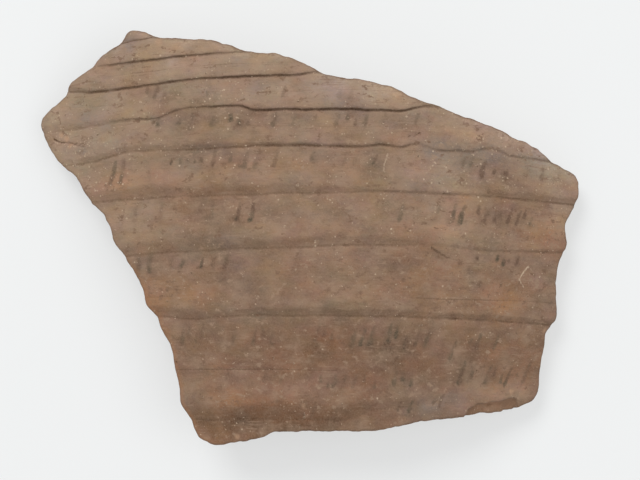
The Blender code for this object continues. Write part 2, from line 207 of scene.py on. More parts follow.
# Ink: groups of faded strokes along each row, as left u, right u, middle v, tallness, darkness.
INK_ROWS = (
    ((-44.3, -38.4, 43.8, 4, 0.5), (-37.5, -35.7, 43.7, 2.9, 0.3), (-26.9, -25.2, 43.2, 3.4, 0.4),
     (-6.9, -4.2, 42.2, 3.4, 0.4), (8, 14, 41.5, 3, 0.25)),
    ((-42.1, -39.7, 34.9, 2.3, 0.7), (-36.4, -30, 34.6, 5, 0.5), (-27.2, -23.5, 34.4, 4, 0.4),
     (-20.7, -17.9, 34.2, 4.6, 0.9), (-16, -14.3, 34.2, 4.2, 0.5), (-10.5, -6.1, 33.9, 4.3, 0.5),
     (-4.2, -1.5, 34.2, 4, 0.4), (2, 3.9, 34.8, 2.8, 0.6), (6.6, 11.2, 34.1, 3.7, 0.6),
     (11.2, 14, 34.3, 4.2, 0.6), (14.8, 18.4, 34.2, 4, 0.6), (21.1, 22.2, 34.7, 3.4, 0.4),
     (28.6, 32.8, 35.1, 3.4, 0.4)),
    ((-57.6, -51.7, 21.6, 8.6, 0.7), (-39.4, -27.6, 23.5, 1.7, 0.7), (-26.7, -23.9, 23.4, 4.8, 0.6),
     (-21, -11.8, 22.9, 4.6, 0.5), (-9, -7.1, 22.8, 3.9, 0.5), (0.4, 4, 23.8, 2.8, 0.6),
     (9.5, 15, 22.6, 1.5, 0.5), (17.8, 21.4, 23.3, 2.8, 0.7), (43.6, 48.8, 24, 3.1, 0.5),
     (49.1, 60.5, 22.1, 5.7, 0.8), (68.7, 72.2, 22.8, 3.7, 0.6)),
    ((-52.1, -47.9, 9.8, 6, 0.5), (-43.4, -40.3, 9.7, 5.6, 0.4), (-30.4, -25.3, 9, 5.6, 0.4),
     (-20.7, -12.9, 8.2, 6, 0.9), (26, 28.9, 8.6, 5.1, 0.6), (36.6, 39.6, 8.9, 4.6, 0.5),
     (41.7, 47, 9.2, 5.9, 0.7), (50.1, 68.6, 9.6, 4.9, 0.7)),
    ((-52.5, -44.7, -5, 5.4, 0.7), (-41.3, -35.1, -5, 2.8, 0.8), (-32.1, -21.2, -5.2, 3.6, 0.8),
     (50, 53.2, -3, 2, 1), (57.8, 66.7, -3, 2.9, 0.8), (48.3, 50.3, -6.5, 2, 0.6)),
    ((-42.3, -38.1, -12.4, 1.6, 0.4), (50.9, 55.5, -10, 4.8, 0.5), (59, 62.5, -10.2, 3.4, 0.4)),
    ((-39.4, -30.6, -25.3, 6, 0.5), (-23.3, -20.2, -25.9, 5.6, 0.5), (-17.1, -10, -26.1, 5.6, 0.5),
     (2.2, 8.3, -25.8, 6, 0.5), (13.5, 21.8, -26.4, 6.5, 0.6), (23.6, 31.2, -26.2, 7.4, 0.9),
     (33.1, 39.5, -26.4, 6, 0.6), (45.5, 47.9, -29.4, 6.5, 0.7), (51, 56.5, -26.6, 5.7, 0.8),
     (59, 63.7, -26.6, 5.2, 0.6)),
    ((-25.1, -24.1, -37.1, 2, 0.6), (-14.5, -10.4, -37.7, 2.8, 0.4), (-9.1, -6, -38.3, 2.8, 0.4),
     (4.4, 17.1, -39.1, 4, 0.5), (18, 22.5, -38.7, 4, 0.5), (26.6, 34.2, -38.1, 4.2, 0.6),
     (48.8, 55.9, -35.9, 7.6, 0.8), (58.1, 65.5, -35.8, 5.8, 0.6), (67.1, 68.2, -35.9, 6.3, 0.6),
     (70.1, 72.1, -35.3, 2.9, 0.4), (73.9, 75.9, -34.4, 7.7, 0.5)),
    ((-2, 4.5, -46.5, 4, 0.3), (28.9, 36.3, -45.5, 3.7, 0.7), (41, 46, -43.8, 4.5, 0.5)),
)
INK_PITCH = 3.3
INK_HALF_WIDTH = 0.6
INK_SOFTNESS = 0.8
INK_HOLLOW = 0.05
STROKE_WEAR = 0.4
STROKE_HEIGHT = 0.88
STROKE_WIDTH = 0.75
WIDEST_STROKE = 5.0
INK_SEED = 3

# What a point stores where no crease or edge is near, and where no stroke is.
FAR = 99.0
OUTSIDE_INK = -3.0

# Broad patches of the clay: middle u, v, half width, half height, how light, warm and green.
PATCHES = (
    (-60, 36, 18, 12, 1.9, -0.2, 0.9),
    (-76, 42, 8, 5, 1.2, -0.4, 0.6),
    (-54, 33, 12, 3, 1, 0, 0.3),
    (-60, 40, 9, 4, -0.4, -1.8, 0.4),
    (-58, 29, 14, 4, 0.6, -2.2, 1.1),
    (-49, 59.5, 8, 4, -1.6, -1.6, 0),
    (-38, 55.5, 12, 3.5, 2.2, -0.4, 1.2),
    (-34, 49.5, 16, 4, 2.5, -0.6, 0.5),
    (-50, 46.9, 12, 1.2, -2.4, 0.6, 0.6),
    (-33, 39.5, 11, 3.6, -2.2, 0.2, 0.4),
    (-4, 42.5, 22, 2.6, 2.8, -1.8, 0.6),
    (16, 42.5, 10, 4, 2.8, -0.4, 0.5),
    (-13, 35.5, 12, 2.6, -2.4, -0.6, -0.2),
    (20, 36, 15, 3.5, -0.6, -1.6, 0),
    (-30, 32, 13, 5, -2.2, -0.2, -0.1),
    (-28, 34, 7, 3, 0, 1.6, 0),
    (-27, 25, 12, 3, -2.8, -1.2, 0.5),
    (-36, 18, 7, 3, -1.5, 0, 0),
    (18, 23, 7, 6, -2, 0, 0),
    (54, 32, 14, 4, 3, -0.4, 0),
    (71, 25.5, 8, 5, 4.2, -2.9, 1.4),
    (79, 14, 6, 8, 4.2, -0.8, 0.2),
    (44, 26, 16, 3, -1.4, -3.2, 0.5),
    (39, 19, 10, 5, 3.7, -2, 0.3),
    (42, 5.6, 8, 6, 4.8, 0.8, 1),
    (59, 14, 7, 7, -1.8, 0.2, -0.8),
    (-51, 17.6, 14, 3.2, 2.8, 0.9, -0.6),
    (-50, 24, 8, 3, -0.8, -1.3, 0.8),
    (-24, 11.5, 12, 5, -2.4, 1.4, -0.5),
    (-53, 7, 12, 5, 2.8, -1.3, 1),
    (-26, -1, 10, 5, -3.2, -2, 1.8),
    (-50, -6, 10, 5, -0.2, -2, 1),
    (26, -5, 9, 6, -2.8, 0.9, -0.3),
    (74, 4, 9, 5, 0.6, 3.2, -1.6),
    (60, 0, 8, 4, 0, -1.4, 0.6),
    (-47, -17, 5, 9, 0, 2, -0.6),
    (-34, -15, 12, 4, 1.2, 2, 0.2),
    (-23, -12, 10, 4, -2.6, -0.6, 0.2),
    (52, -10, 18, 7, -0.2, 1.4, -0.4),
    (62, -17, 8, 8, 0.8, 2.4, -0.6),
    (-8, -20, 28, 3, -1.4, -1.4, 1.6),
    (4, -29, 22, 7, -3.6, 2.6, -0.6),
    (28, -31, 8, 4.5, -3.2, -1, 0),
    (54, -26, 22, 6, -2.4, 0.4, 0),
    (-28, -28, 12, 5, -2.2, 1, -0.3),
    (4, -37, 34, 8, -1.1, 1, -1.4),
    (33, -35, 11, 3.5, -0.8, 2.6, -0.4),
    (32, -38, 10, 4, -2.2, -1, 0.4),
    (64, -33, 14, 6, 0.2, 1.6, -0.8),
    (51, -36, 7, 3, -3.2, -0.8, 0.6),
    (-6, -48.5, 30, 3.5, -5.1, 4.6, -0.6),
    (-4, -52, 24, 2.4, -2.8, 0.4, 0),
    (-16, -43, 16, 4, 1.4, 1.4, -1),
    (-26, -52, 13, 6, -3.2, 4, -0.8),
    (-41, -42, 5, 4, 0, -3.4, 0),
    (36, -47, 14, 4, 0.5, -3.6, 0.8),
    (54, -43, 18, 4, 4, -1.8, 0.8),
    (70, -41, 9, 3.5, 5.2, -0.4, 0),
)

# Where lime grit crowds: middle u, v, half width, half height, how much.
GRITTY = (
    (-74, 35, 6, 4, 1.0), (-58, 30, 14, 5, 0.5), (-62, 21, 10, 5, 0.6), (-32, 42, 14, 2, 0.5),
    (-24, 31, 4, 3, 0.6), (-18, 24, 10, 2, 0.4), (38, 20, 12, 5, 0.5), (58, 30, 10, 4, 0.6),
    (60, 17, 10, 2, 0.6), (76, 18, 5, 8, 0.5), (74, 3, 8, 2, 0.6), (68, -8, 4, 3, 0.7),
    (50, 2, 6, 3, 0.4), (-50, 1, 7, 3, 0.4), (-24, -16, 14, 3, 0.5), (48, -16, 14, 3, 0.4),
    (-14, -35, 14, 3, 0.4), (-24, -53, 6, 3, 1.0), (-37, -50, 4, 3, 0.6), (-1, -45, 4, 2, 0.8),
    (29, -43, 6, 3, 0.8), (56, -43, 8, 3, 0.7), (73, -41, 5, 3, 1.0), (50, -28, 8, 6, 0.4),
)

# Chips and knocks with fresh clay showing: u, v, radius, depth, paleness.
CHIPS = (
    (-73.1, 34.7, 0.8, 0.2, 0.9), (-71.1, 33.5, 1.0, 0.3, 1.0), (-69.9, 31.3, 0.7, 0.2, 0.9),
    (69.7, -40.4, 0.8, 0.2, 1.0), (-22.8, -54.4, 0.8, 0.3, 0.9), (-0.7, -45.6, 0.6, 0.15, 0.6),
    (79.0, -22.0, 0.7, 0.2, 0.7), (-42.4, 34.9, 0.5, 0.3, -0.8), (53.3, 15.9, 0.5, 0.3, -0.8),
    (-39.8, 58.0, 1.0, 0.3, 0.6),
)
CHIP_RAGGED = 0.35
CUT_SOFTNESS = 0.8

# Screen colours of the clay, its dirt and painted shade, the ink and the breaks.
CLAY_LOW = (126, 96, 76)
CLAY_HIGH = (145, 119, 98)
CLAY_PALE = (153, 127, 105)
CLAY_DIRT = (110, 82, 64)
FRONT_SHADE = (101, 74, 53)
DIRT_AND_SHADE = (66, 40, 20)
INK = (64, 60, 46)
INK_RUSTY = (78, 54, 42)
BREAK_CORE = (118, 100, 86)
BREAK_MARGIN = (140, 102, 78)
BREAK_PITS = (86, 68, 56)
SCAR = (134, 98, 70)
CHIP_PALE = (185, 148, 118)
RIM_ORANGE = (154, 107, 72)
RIM_SHADE = (78, 66, 54)
LIME = (206, 182, 156)
DUSTING = (160, 140, 120)

# How strongly each of them shows: 1 covers what is under it.
INK_STRENGTH = 1.2
INK_SMEAR = 0.45
CLOUD_PALE, CLOUD_DARK = 0.6, 0.35
STREAK_STRENGTH = 0.28
SCRATCH_PALE, SCRATCH_DARK = 0.5, 0.45
SCUFF_STRENGTH = 0.85
FRONT_SHADE_STRENGTH = 0.27
NARROW_CREASE, WIDE_CREASE = 0.83, 0.42
HAIR_STRENGTH = 0.55
BREAK_STRENGTH = 0.8
BREAK_PALE, BREAK_DARK = 0.5, 0.55
CHIP_STRENGTH = 0.7
SCAR_STRENGTH = 0.55
SCAR_EDGE_STRENGTH = 0.28
ORANGE_STRENGTH = 0.42
RIM_SHADE_STRENGTH = 0.33
DUSTING_STRENGTH = 0.42
LIME_STRENGTH = 0.74
PIT_STRENGTH = 0.7
PIT_SHARE = 0.012
GRAIN_STRENGTH = 0.4

# What one step lighter, warmer or greener adds to the clay's red, green and blue light, how far
# the mottling goes, and what wear and a painted highlight add along the upper rim.
LIGHTER = (0.10, 0.10, 0.10)
WARMER = (0.048, 0.0, -0.07)
GREENER = (-0.011, 0.026, -0.015)
LIGHT_MOTTLING = 12.0
COLOUR_MOTTLING = (10.5, 13.0)
RIM_HIGHLIGHT_AND_WEAR = (0.18, 0.22, 0.28)
BROAD_RIM_HIGHLIGHT = 0.8
THIN_EDGE_HIGHLIGHT = 0.9

# The clay's sheen, and the fine bumps that are too small for the mesh, in metres.
CLAY_SHEEN = 0.25
ROUGHEST, SMOOTHEST = 0.96, 0.86
BUMP_STRENGTH = 0.62
BUMP_HEIGHT = 0.0003

# The stage, in metres and watts, with the lens in millimetres.  Lights: name, place, size, power.
FLOOR_SIZE = 3.0
FLOOR_COLOUR = (0.33, 0.335, 0.333, 1)
FLOOR_ROUGHNESS = 0.9
FLOOR_GLOW = 0.515
FLOOR_GLOW_COLOUR = (0.995, 1.0, 0.998, 1)
LIGHTS = (
    ("key", (-0.62, 1.05, 1.38), 0.9, 17.3),
    ("fill", (0.9, -0.1, 1.6), 1.6, 9.5),
)
SKY_STRENGTH = 0.53
SKY_COLOUR = (0.95, 0.975, 1.0, 1)
CAMERA_PLACE = (0.0031, -0.0006, 0.477)
CAMERA_LENS = 87.75
CAMERA_SENSOR = 36.0


def ease(t):
    """Go from 0 to 1 with level ends."""
    t = np.clip(t, 0.0, 1.0)
    return t * t * (3 - 2 * t)


def along(rows, u):
    """Each column of rows (u, a, b, ...) at the given u, eased from row to row."""
    table = np.array(rows, float)
    at = np.clip(np.searchsorted(table[:, 0], u) - 1, 0, len(table) - 2)
    part = ease((u - table[at, 0]) / (table[at + 1, 0] - table[at, 0]))
    return [a[at] + (a[at + 1] - a[at]) * part for a in table.T[1:]]


def hashed(cell, seed):
    """A number from -1 to 1 for each whole-numbered place."""
    mixed = np.full(cell.shape[:-1], seed * 974634777 & 0xFFFFFFFF, np.int64)
    for axis, prime in zip(range(cell.shape[-1]), (374761393, 668265263, 1103515245)):
        mixed = ((mixed ^ (cell[..., axis] * prime)) & 0xFFFFFFFF) * 1274126177 & 0xFFFFFFFF
        mixed ^= mixed >> 15
    return (mixed & 0xFFFF) / 32767.5 - 1.0


def noise(places, size, seed):
    """Smooth noise from -1 to 1 with lumps of the given size; places may be flat or solid."""
    places = places / size
    low = np.floor(places)
    part = ease(places - low)
    low = low.astype(np.int64)
    total = 0.0
    for corner in itertools.product((0, 1), repeat=places.shape[-1]):
        weight = np.prod(np.where(corner, part, 1 - part), axis=-1)
        total = total + weight * hashed(low + corner, seed)
    return total


def rough(places, size, seed, octaves):
    """Noise with finer and finer lumps on it."""
    layers = [noise(places, size * 0.5**k, seed + k) * 0.55**k for k in range(octaves)]
    return sum(layers)


def lumpy(start, places, layers):
    """The start with layers of roughness added."""
    for along_u, height, size, seed, octaves in layers:
        drawn_out = places * ([along_u] + [1] * (places.shape[-1] - 1))
        start = start + height * rough(drawn_out, size, seed, octaves)
    return start


def creases(u):
    """The creases at each u, lowest first, slightly uneven: their v, height and run."""
    lines = []
    for number, rib in enumerate(reversed(RIBS)):
        v, height, run = along(rib, u)
        place = np.stack([u, np.full_like(u, RIB_STEP * number)], -1)
        v = lumpy(v, place, CREASE_WANDER)
        height = height * lumpy(1, place, RIB_HEIGHT_LUMPS)
        run = run * lumpy(1, place, RIB_RUN_LUMPS)
        lines.append((v, height, run))
    return lines


def rib_height(s, height, run):
    """Height of one rib at s above its crease: a groove, a front, a top and a long back."""
    groove = -GROOVE_DEPTH * ease(1 + s / GROOVE_RUN)
    climb = np.clip(s / run, 0, 1)
    climb = FRONT_FLATNESS * climb + (1 - FRONT_FLATNESS) * ease(climb)
    front = -GROOVE_DEPTH + (height + GROOVE_DEPTH) * climb
    back = height * ease(1 - (s - run) / RIB_BACK)
    return np.where(s < 0, groove, np.where(s < run, front, back))


def flake(u, v):
    """How far the lost flake reaches at each place, from 0 to 1."""
    x, y = np.array(FLAKE_EDGE, float).T
    below = lumpy(np.interp(u, x, y) - v, np.stack([u, v], -1), FLAKE_RAGGED)
    between = (u > x[0]) & (u < x[-1])
    return np.where(between, ease(below / FLAKE_SLOPE), 0.0)


def chip_marks(u, v):
    """Depth of the chips at each place, and how pale or dark they are."""
    depth = np.zeros_like(u)
    pale = np.zeros_like(u)
    place = np.stack([u, v], -1)
    for x, y, radius, deep, paleness in CHIPS:
        away = np.hypot(u - x, v - y) / radius + CHIP_RAGGED * noise(place, radius, 51)
        near = ease(1.5 - away)
        depth += deep * near
        pale += paleness * near
    return depth, pale


def hair_lines(u, v):
    """How deep the hair lines are at each place."""
    depth = np.zeros_like(u)
    for line in HAIR_LINES:
        crease, deep = along(line, u)
        depth += deep * np.exp(-(((v - crease) / (0.5 * HAIR_WIDTH)) ** 2))
    return depth


def outer_side(u, v):
    """The outer side at each place: its height, and how far above the nearest crease it is, with
    the height and run of that crease's rib."""
    place = np.stack([u, v], -1)
    height = lumpy(0, place, OUTER_LUMPS)
    above = np.full((3, len(u)), FAR)
    for crease, tall, run in creases(u):
        s = v - crease
        height = height + rib_height(s, tall, run)
        nearest = abs(s - 0.5 * run) < abs(above[0] - 0.5 * above[2])
        above = np.where(nearest, [s, tall, run], above)
    height = height - hair_lines(u, v)
    height = height - flake(u, v) * lumpy(FLAKE_DEPTH, place, FLAKE_FLOOR)
    height = height - chip_marks(u, v)[0]
    return height, above


def inner_side(u, v):
    """Height of the inner side, with the finger rings and fine dragging of the clay."""
    place = np.stack([u, v], -1)
    turn = 2 * math.pi * (v + RING_CLIMB * u) / RING_PITCH
    rings = lumpy(RING_HEIGHT * np.sin(turn), place, DRAGGED_LUMPS)
    return lumpy(-WALL + WALL_THICKENING * v + rings, place, INNER_LUMPS)


def steps_between(low, high, count):
    """Even steps between two values, without either of them."""
    return [low + (high - low) * (i + 1) / (count + 1) for i in range(count)]


def row_lines(u):
    """The v of every row of the grid at each u.  Rows crowd on the ribs and hair lines."""
    blocks = []
    for crease, _tall, run in creases(u):
        rows = [crease + step * GROOVE_RUN for step in GROOVE_STEPS]
        blocks.append(rows + [crease + step * run for step in FRONT_STEPS])
    for line in HAIR_LINES:
        crease = along(line, u)[0]
        blocks.append([crease + step * HAIR_WIDTH for step in HAIR_STEPS])
    blocks.sort(key=lambda rows: rows[0].mean())
    low = np.full_like(u, GRID_BOTTOM)
    lines = [low]
    for rows in blocks + [[np.full_like(u, GRID_TOP)]]:
        count = max(round(float((rows[0] - low).mean()) / ROW_HEIGHT), 1)
        lines += steps_between(low, rows[0], count) + rows
        low = rows[-1]
    return np.array(lines)


def outline():
    """The broken outline in fine steps, anticlockwise: points, slant, outward way and raggedness."""
    corners = np.array([point for _slant, run in BREAKS.values() for point in run], float)[::-1]
    slants = np.array([slant for slant, run in BREAKS.values() for _point in run], float)[::-1]
    loop = np.vstack([corners, corners[:1]])
    length = np.concatenate([[0], np.cumsum(np.hypot(*np.diff(loop, axis=0).T))])
    count = round(length[-1] / EDGE_STEP)
    at = np.arange(count) * length[-1] / count
    points = np.stack([np.interp(at, length, axis) for axis in loop.T], -1)
    slant = np.interp(at, length, np.append(slants, slants[0]))
    for _pass in range(OUTLINE_SMOOTHINGS):
        points = (np.roll(points, 1, 0) + 2 * points + np.roll(points, -1, 0)) / 4
    ways = np.roll(points, -1, 0) - np.roll(points, 1, 0)
    outward = np.stack([ways[:, 1], -ways[:, 0]], -1)
    outward /= np.hypot(*outward.T)[:, None]
    return points, slant, outward, lumpy(0, points, OUTLINE_RAGGED)


def inside(points, ring, margin):
    """Which points are inside the ring and at least the margin away from its corners."""
    x, y = points.T
    within = np.zeros(len(points), bool)
    near = np.full(len(points), np.inf)
    for (x0, y0), (x1, y1) in zip(ring, np.roll(ring, -1, 0)):
        crosses = (y0 > y) != (y1 > y)
        if y0 != y1:
            within ^= crosses & (x < x0 + (y - y0) * (x1 - x0) / (y1 - y0))
        box = (abs(x - x0) < 2) & (abs(y - y0) < 2)
        near[box] = np.minimum(near[box], np.hypot(x[box] - x0, y[box] - y0))
    return within & (near > margin)


def from_edge(points, ring):
    """How far each point is from the nearest corner of the ring."""
    tree = KDTree(len(ring))
    for number, (u, v) in enumerate(ring):
        tree.insert((u, v, 0), number)
    tree.balance()
    return np.array([tree.find((u, v, 0))[2] for u, v in points])


def filled(ring, points):
    """Triangles over a ring and the points inside it, as numbers into ring + points."""
    everything = [Vector(p) for p in np.vstack([ring, points])]
    made = delaunay_2d_cdt(everything, [], [list(range(len(ring)))], 1, 1e-7, True)
    source = [old[0] for old in made[3]]
    within = (face for face, ring_face in zip(made[2], made[5]) if ring_face)
    return [[source[corner] for corner in face] for face in within]


def rolled(u, v, height):
    """Where points of the unrolled wall are on the jar, whose axis lies along Y."""
    radius = JAR_RADIUS + JAR_FLARE * v - v * v / (2 * JAR_BULGE)
    slope = JAR_FLARE - v / JAR_BULGE
    out = height / np.hypot(1, slope)
    turn = u / JAR_RADIUS
    return np.stack([(radius + out) * np.sin(turn), v - out * slope, (radius + out) * np.cos(turn)], -1)


def laid_down(points):
    """Turn the points as the sherd lies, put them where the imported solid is, and wear the feet."""
    c, s = math.cos(REST_TILT), math.sin(REST_TILT)
    tilt = np.array([[1, 0, 0], [0, c, s], [0, -s, c]])
    c, s = math.cos(REST_ROLL), math.sin(REST_ROLL)
    roll = np.array([[c, 0, s], [0, 1, 0], [-s, 0, c]])
    low, high = (np.array(corner) for corner in CAD_BOX)
    middle = np.append(((low + high) / 2)[:2], low[2])
    points = (points @ (roll @ tilt).T + JAR_PLACE) * MM + middle
    points[:, 2] = np.maximum(points[:, 2], low[2])
    return points


def ink_strokes():
    """Faded pen strokes, none of them a letter: points, half width and darkness of each."""
    rng = random.Random(INK_SEED)
    strokes = []
    for left, right, middle, tall, dark in itertools.chain(*INK_ROWS):
        count = max(round((right - left) / INK_PITCH), 1)
        pitch = (right - left) / count
        width = min(pitch, WIDEST_STROKE) * STROKE_WIDTH
        for i in range(count):
            u = left + pitch * (i + 0.5)
            strokes += pen_mark(rng, u, middle, width, tall * STROKE_HEIGHT, dark)
    return strokes


def pen_mark(rng, u, v, width, tall, dark):
    """One mark of the pen: a slanting dash, a bow, a spot, two short ticks or a flat dash.  All
    lean one way, so that no two of them meet in a letter."""
    lean = rng.uniform(0.1, 0.15) * tall
    low, high = v - tall / 2 * rng.uniform(0.7, 1), v + tall / 2 * rng.uniform(0.7, 1)
    left, right = u - width / 2, u + width / 2
    bow = rng.uniform(-0.2, 0.2) * width
    kind = rng.choice(("dash", "bow", "dash", "bow", "spot", "ticks"))
    if tall < 0.6 * width:
        kind = "flat"
    if kind == "dash":
        lines = [[(u - lean, low), (u, v), (u + lean, high)]]
    elif kind == "bow":
        lines = [[(u - lean, low), (u + bow, v), (u + lean, high)]]
    elif kind == "flat":
        lines = [[(left, v), (u, v + 0.08 * width), (right, v + rng.uniform(-0.2, 0.2) * width)]]
    elif kind == "spot":
        lines = [[(u - lean / 3, v - 0.1 * tall), (u + lean / 3, v + 0.1 * tall)]]
    else:
        lines = [[(left, v), (left + lean / 2, high)], [(right, low), (right + lean / 2, v)]]
    half = INK_HALF_WIDTH * (0.75 + 0.07 * tall) * rng.uniform(0.75, 1.25)
    dark *= rng.uniform(0.8, 1.1)
    return [(line, half, dark) for line in lines]


def drawn(u, v, strokes):
    """How far inside a stroke each place is, in half widths, and that stroke's tone.  Each stroke
    grows thinner and fainter towards its end."""
    within = np.full_like(u, OUTSIDE_INK)
    tone = np.zeros_like(u)
    for line, half, stroke_tone in strokes:
        for number, ((x0, y0), (x1, y1)) in enumerate(zip(line, line[1:])):
            near = np.flatnonzero(
                (u > min(x0, x1) - 2) & (u < max(x0, x1) + 2)
                & (v > min(y0, y1) - 2) & (v < max(y0, y1) + 2))
            x, y = u[near], v[near]
            span = (x1 - x0) ** 2 + (y1 - y0) ** 2
            t = np.clip(((x - x0) * (x1 - x0) + (y - y0) * (y1 - y0)) / span, 0, 1)
            away = np.hypot(x - x0 - t * (x1 - x0), y - y0 - t * (y1 - y0))
            worn = STROKE_WEAR * (number + t) / (len(line) - 1)
            score = 1 - away / (half * (1 - worn))
            better = score > within[near]
            within[near[better]] = score[better]
            tone[near[better]] = (stroke_tone * (1 - worn))[better]
    return within, tone


def spread(places, u, v):
    """The sum of soft uneven patches (u, v, half width, half height, values) at each place."""
    place = np.stack([u, v], -1)
    x = lumpy(u, place, PATCH_DRIFT_U)
    y = lumpy(v, place, PATCH_DRIFT_V)
    total = np.zeros((len(u), len(places[0]) - 4))
    for middle, level, wide, tall, *values in places:
        near = np.exp(-(((x - middle) / wide) ** 2) - ((y - level) / tall) ** 2)
        total += near[:, None] * values
    return total


def outer_points(ring):
    """The grid's points inside the ring: u and v."""
    count = round((GRID_RIGHT - GRID_LEFT) / COLUMN_WIDTH)
    columns = np.linspace(GRID_LEFT, GRID_RIGHT, count + 1)
    lines = row_lines(columns)
    u = np.broadcast_to(columns, lines.shape)
    stagger = np.where(np.arange(len(lines)) % 2, 0.25, -0.25)[:, None] * COLUMN_WIDTH
    points = np.stack([(u + stagger).ravel(), lines.ravel()], -1)
    return points[inside(points, ring, 0.5 * EDGE_STEP)]


def inner_points(ring):
    """A plain grid inside the ring of the inner side."""
    u = np.arange(GRID_LEFT, GRID_RIGHT, INNER_CELL)
    v = np.arange(GRID_BOTTOM, GRID_TOP, INNER_CELL * 0.87)
    u, v = np.meshgrid(u, v)
    u = u + np.where(np.arange(len(u)) % 2, 0.5 * INNER_CELL, 0)[:, None]
    points = np.stack([u.ravel(), v.ravel()], -1)
    return points[inside(points, ring, 0.7 * INNER_CELL)]


def break_rings(line, slant, outward, ragged):
    """The rings of the break from the worn outer rim to the inner one: u, v and height."""
    rings = []
    inner_levels = np.linspace(0.1, 0.9, BREAK_ROWS - 4)
    levels = np.concatenate([[0, RIM_SHARE], inner_levels, [1 - RIM_SHARE, 1]])
    top = outer_side(*line.T)[0]
    bottom = inner_side(*(line + outward * slant[:, None]).T)
    for level in levels:
        height = top + (bottom - top) * level
        place = np.column_stack([line, height])
        middle = math.sin(math.pi * level * CRUMB_SPAN) ** 0.5
        crumbs = lumpy(0, place, BREAK_CRUMBS)
        out = slant * level + middle * crumbs + ragged * ease(1 - level / RAGGED_SHARE)
        rim = max(1 - level / RIM_SHARE, 1 - (1 - level) / RIM_SHARE, 0)
        out = out - rim * lumpy(RIM_WORN, place, RIM_WEAR)
        rings.append(np.column_stack([line + outward * out[:, None], height]))
    rings[0][:, 2] = outer_side(*rings[0][:, :2].T)[0]
    rings[-1][:, 2] = inner_side(*rings[-1][:, :2].T)
    return rings, levels


def fine_sherd():
    """The whole sherd as one closed mesh that knows its place on the wall and its marks."""
    line, slant, outward, ragged = outline()
    rings, levels = break_rings(line, slant, outward, ragged)
    count = len(line)
    outer = outer_points(rings[0][:, :2])
    inner = inner_points(rings[-1][:, :2])
    outer_height = outer_side(*outer.T)[0]
    within, dark = drawn(*outer.T, ink_strokes())
    outer_height = outer_height - INK_HOLLOW * ease(within + 1) * dark
    for half, deep, _tone, cut in CUTS:
        outer_height -= deep * ease(drawn(*outer.T, [(cut, half, 1)])[0] + CUT_SOFTNESS)
    inner_height = inner_side(*inner.T)
    flat = np.vstack(rings + [
        np.column_stack([outer, outer_height]), np.column_stack([inner, inner_height])])
    faces = []
    outer_start = len(rings) * count
    inner_start = outer_start + len(outer)
    for face in filled(rings[0][:, :2], outer):
        faces.append([i if i < count else i - count + outer_start for i in face])
    last = (len(rings) - 1) * count
    for face in filled(rings[-1][:, :2], inner):
        faces.append([last + i if i < count else i - count + inner_start for i in face[::-1]])
    for row in range(len(rings) - 1):
        for i in range(count):
            near, far = row * count + i, row * count + (i + 1) % count
            faces.append((near, near + count, far + count))
            faces.append((near, far + count, far))
    places = laid_down(rolled(*flat.T))
    mesh = bpy.data.meshes.new("fired_sherd")
    mesh.from_pydata(places.tolist(), [], faces)
    mesh.shade_smooth()
    side = np.concatenate([np.repeat(levels, count), np.zeros(len(outer)), np.ones(len(inner))])
    open_break = np.where((levels > 0) & (levels < 1), 1.0, 0.5)
    broken = np.concatenate([np.repeat(open_break, count), np.zeros(len(outer) + len(inner))])
    edge = from_edge(outer, rings[0][:, :2])
    rim = np.concatenate([np.zeros(len(rings) * count), edge, np.full(len(inner), FAR)])
    add_marks(mesh, flat, side, broken, rim)
    piece = bpy.data.objects.new("fired_sherd", mesh)
    bpy.context.scene.collection.objects.link(piece)
    return piece


def add_marks(mesh, flat, side, broken, rim):
    """Give each point of the mesh its place on the wall and what marks it there."""
    u, v = flat.T[:2]
    face = side == 0
    above = outer_side(u, v)[1]
    within, dark = drawn(u, v, ink_strokes())
    cut, cut_tone = drawn(u, v, [(line, half, tone) for half, _deep, tone, line in CUTS])
    chipped = chip_marks(u, v)[1]
    within = np.where(face, within, OUTSIDE_INK)
    cut = np.where(face, cut, OUTSIDE_INK)
    give(mesh, "wall", *flat.T)
    give(mesh, "ribs", *np.where(face, above, FAR))
    give(mesh, "writing", within, dark * face, chipped * face)
    give(mesh, "tone", *spread(PATCHES, u, v).T)
    give(mesh, "grit", spread(GRITTY, u, v)[:, 0], side, rim)
    give(mesh, "cuts", cut, cut_tone, np.zeros_like(u))
    give(mesh, "damage", broken, flake(u, v) * face, hair_lines(u, v) * face)


def give(mesh, name, *numbers):
    """Store three numbers for each point."""
    attribute = mesh.attributes.new(name, "FLOAT_VECTOR", "POINT")
    attribute.data.foreach_set("vector", np.column_stack(numbers).astype(np.float32).ravel())


def linear(red, green, blue):
    """A screen colour, 0 to 255, as the light it stands for."""
    shares = [value / 255 for value in (red, green, blue)]
    return [s / 12.92 if s <= 0.04045 else ((s + 0.055) / 1.055) ** 2.4 for s in shares] + [1.0]


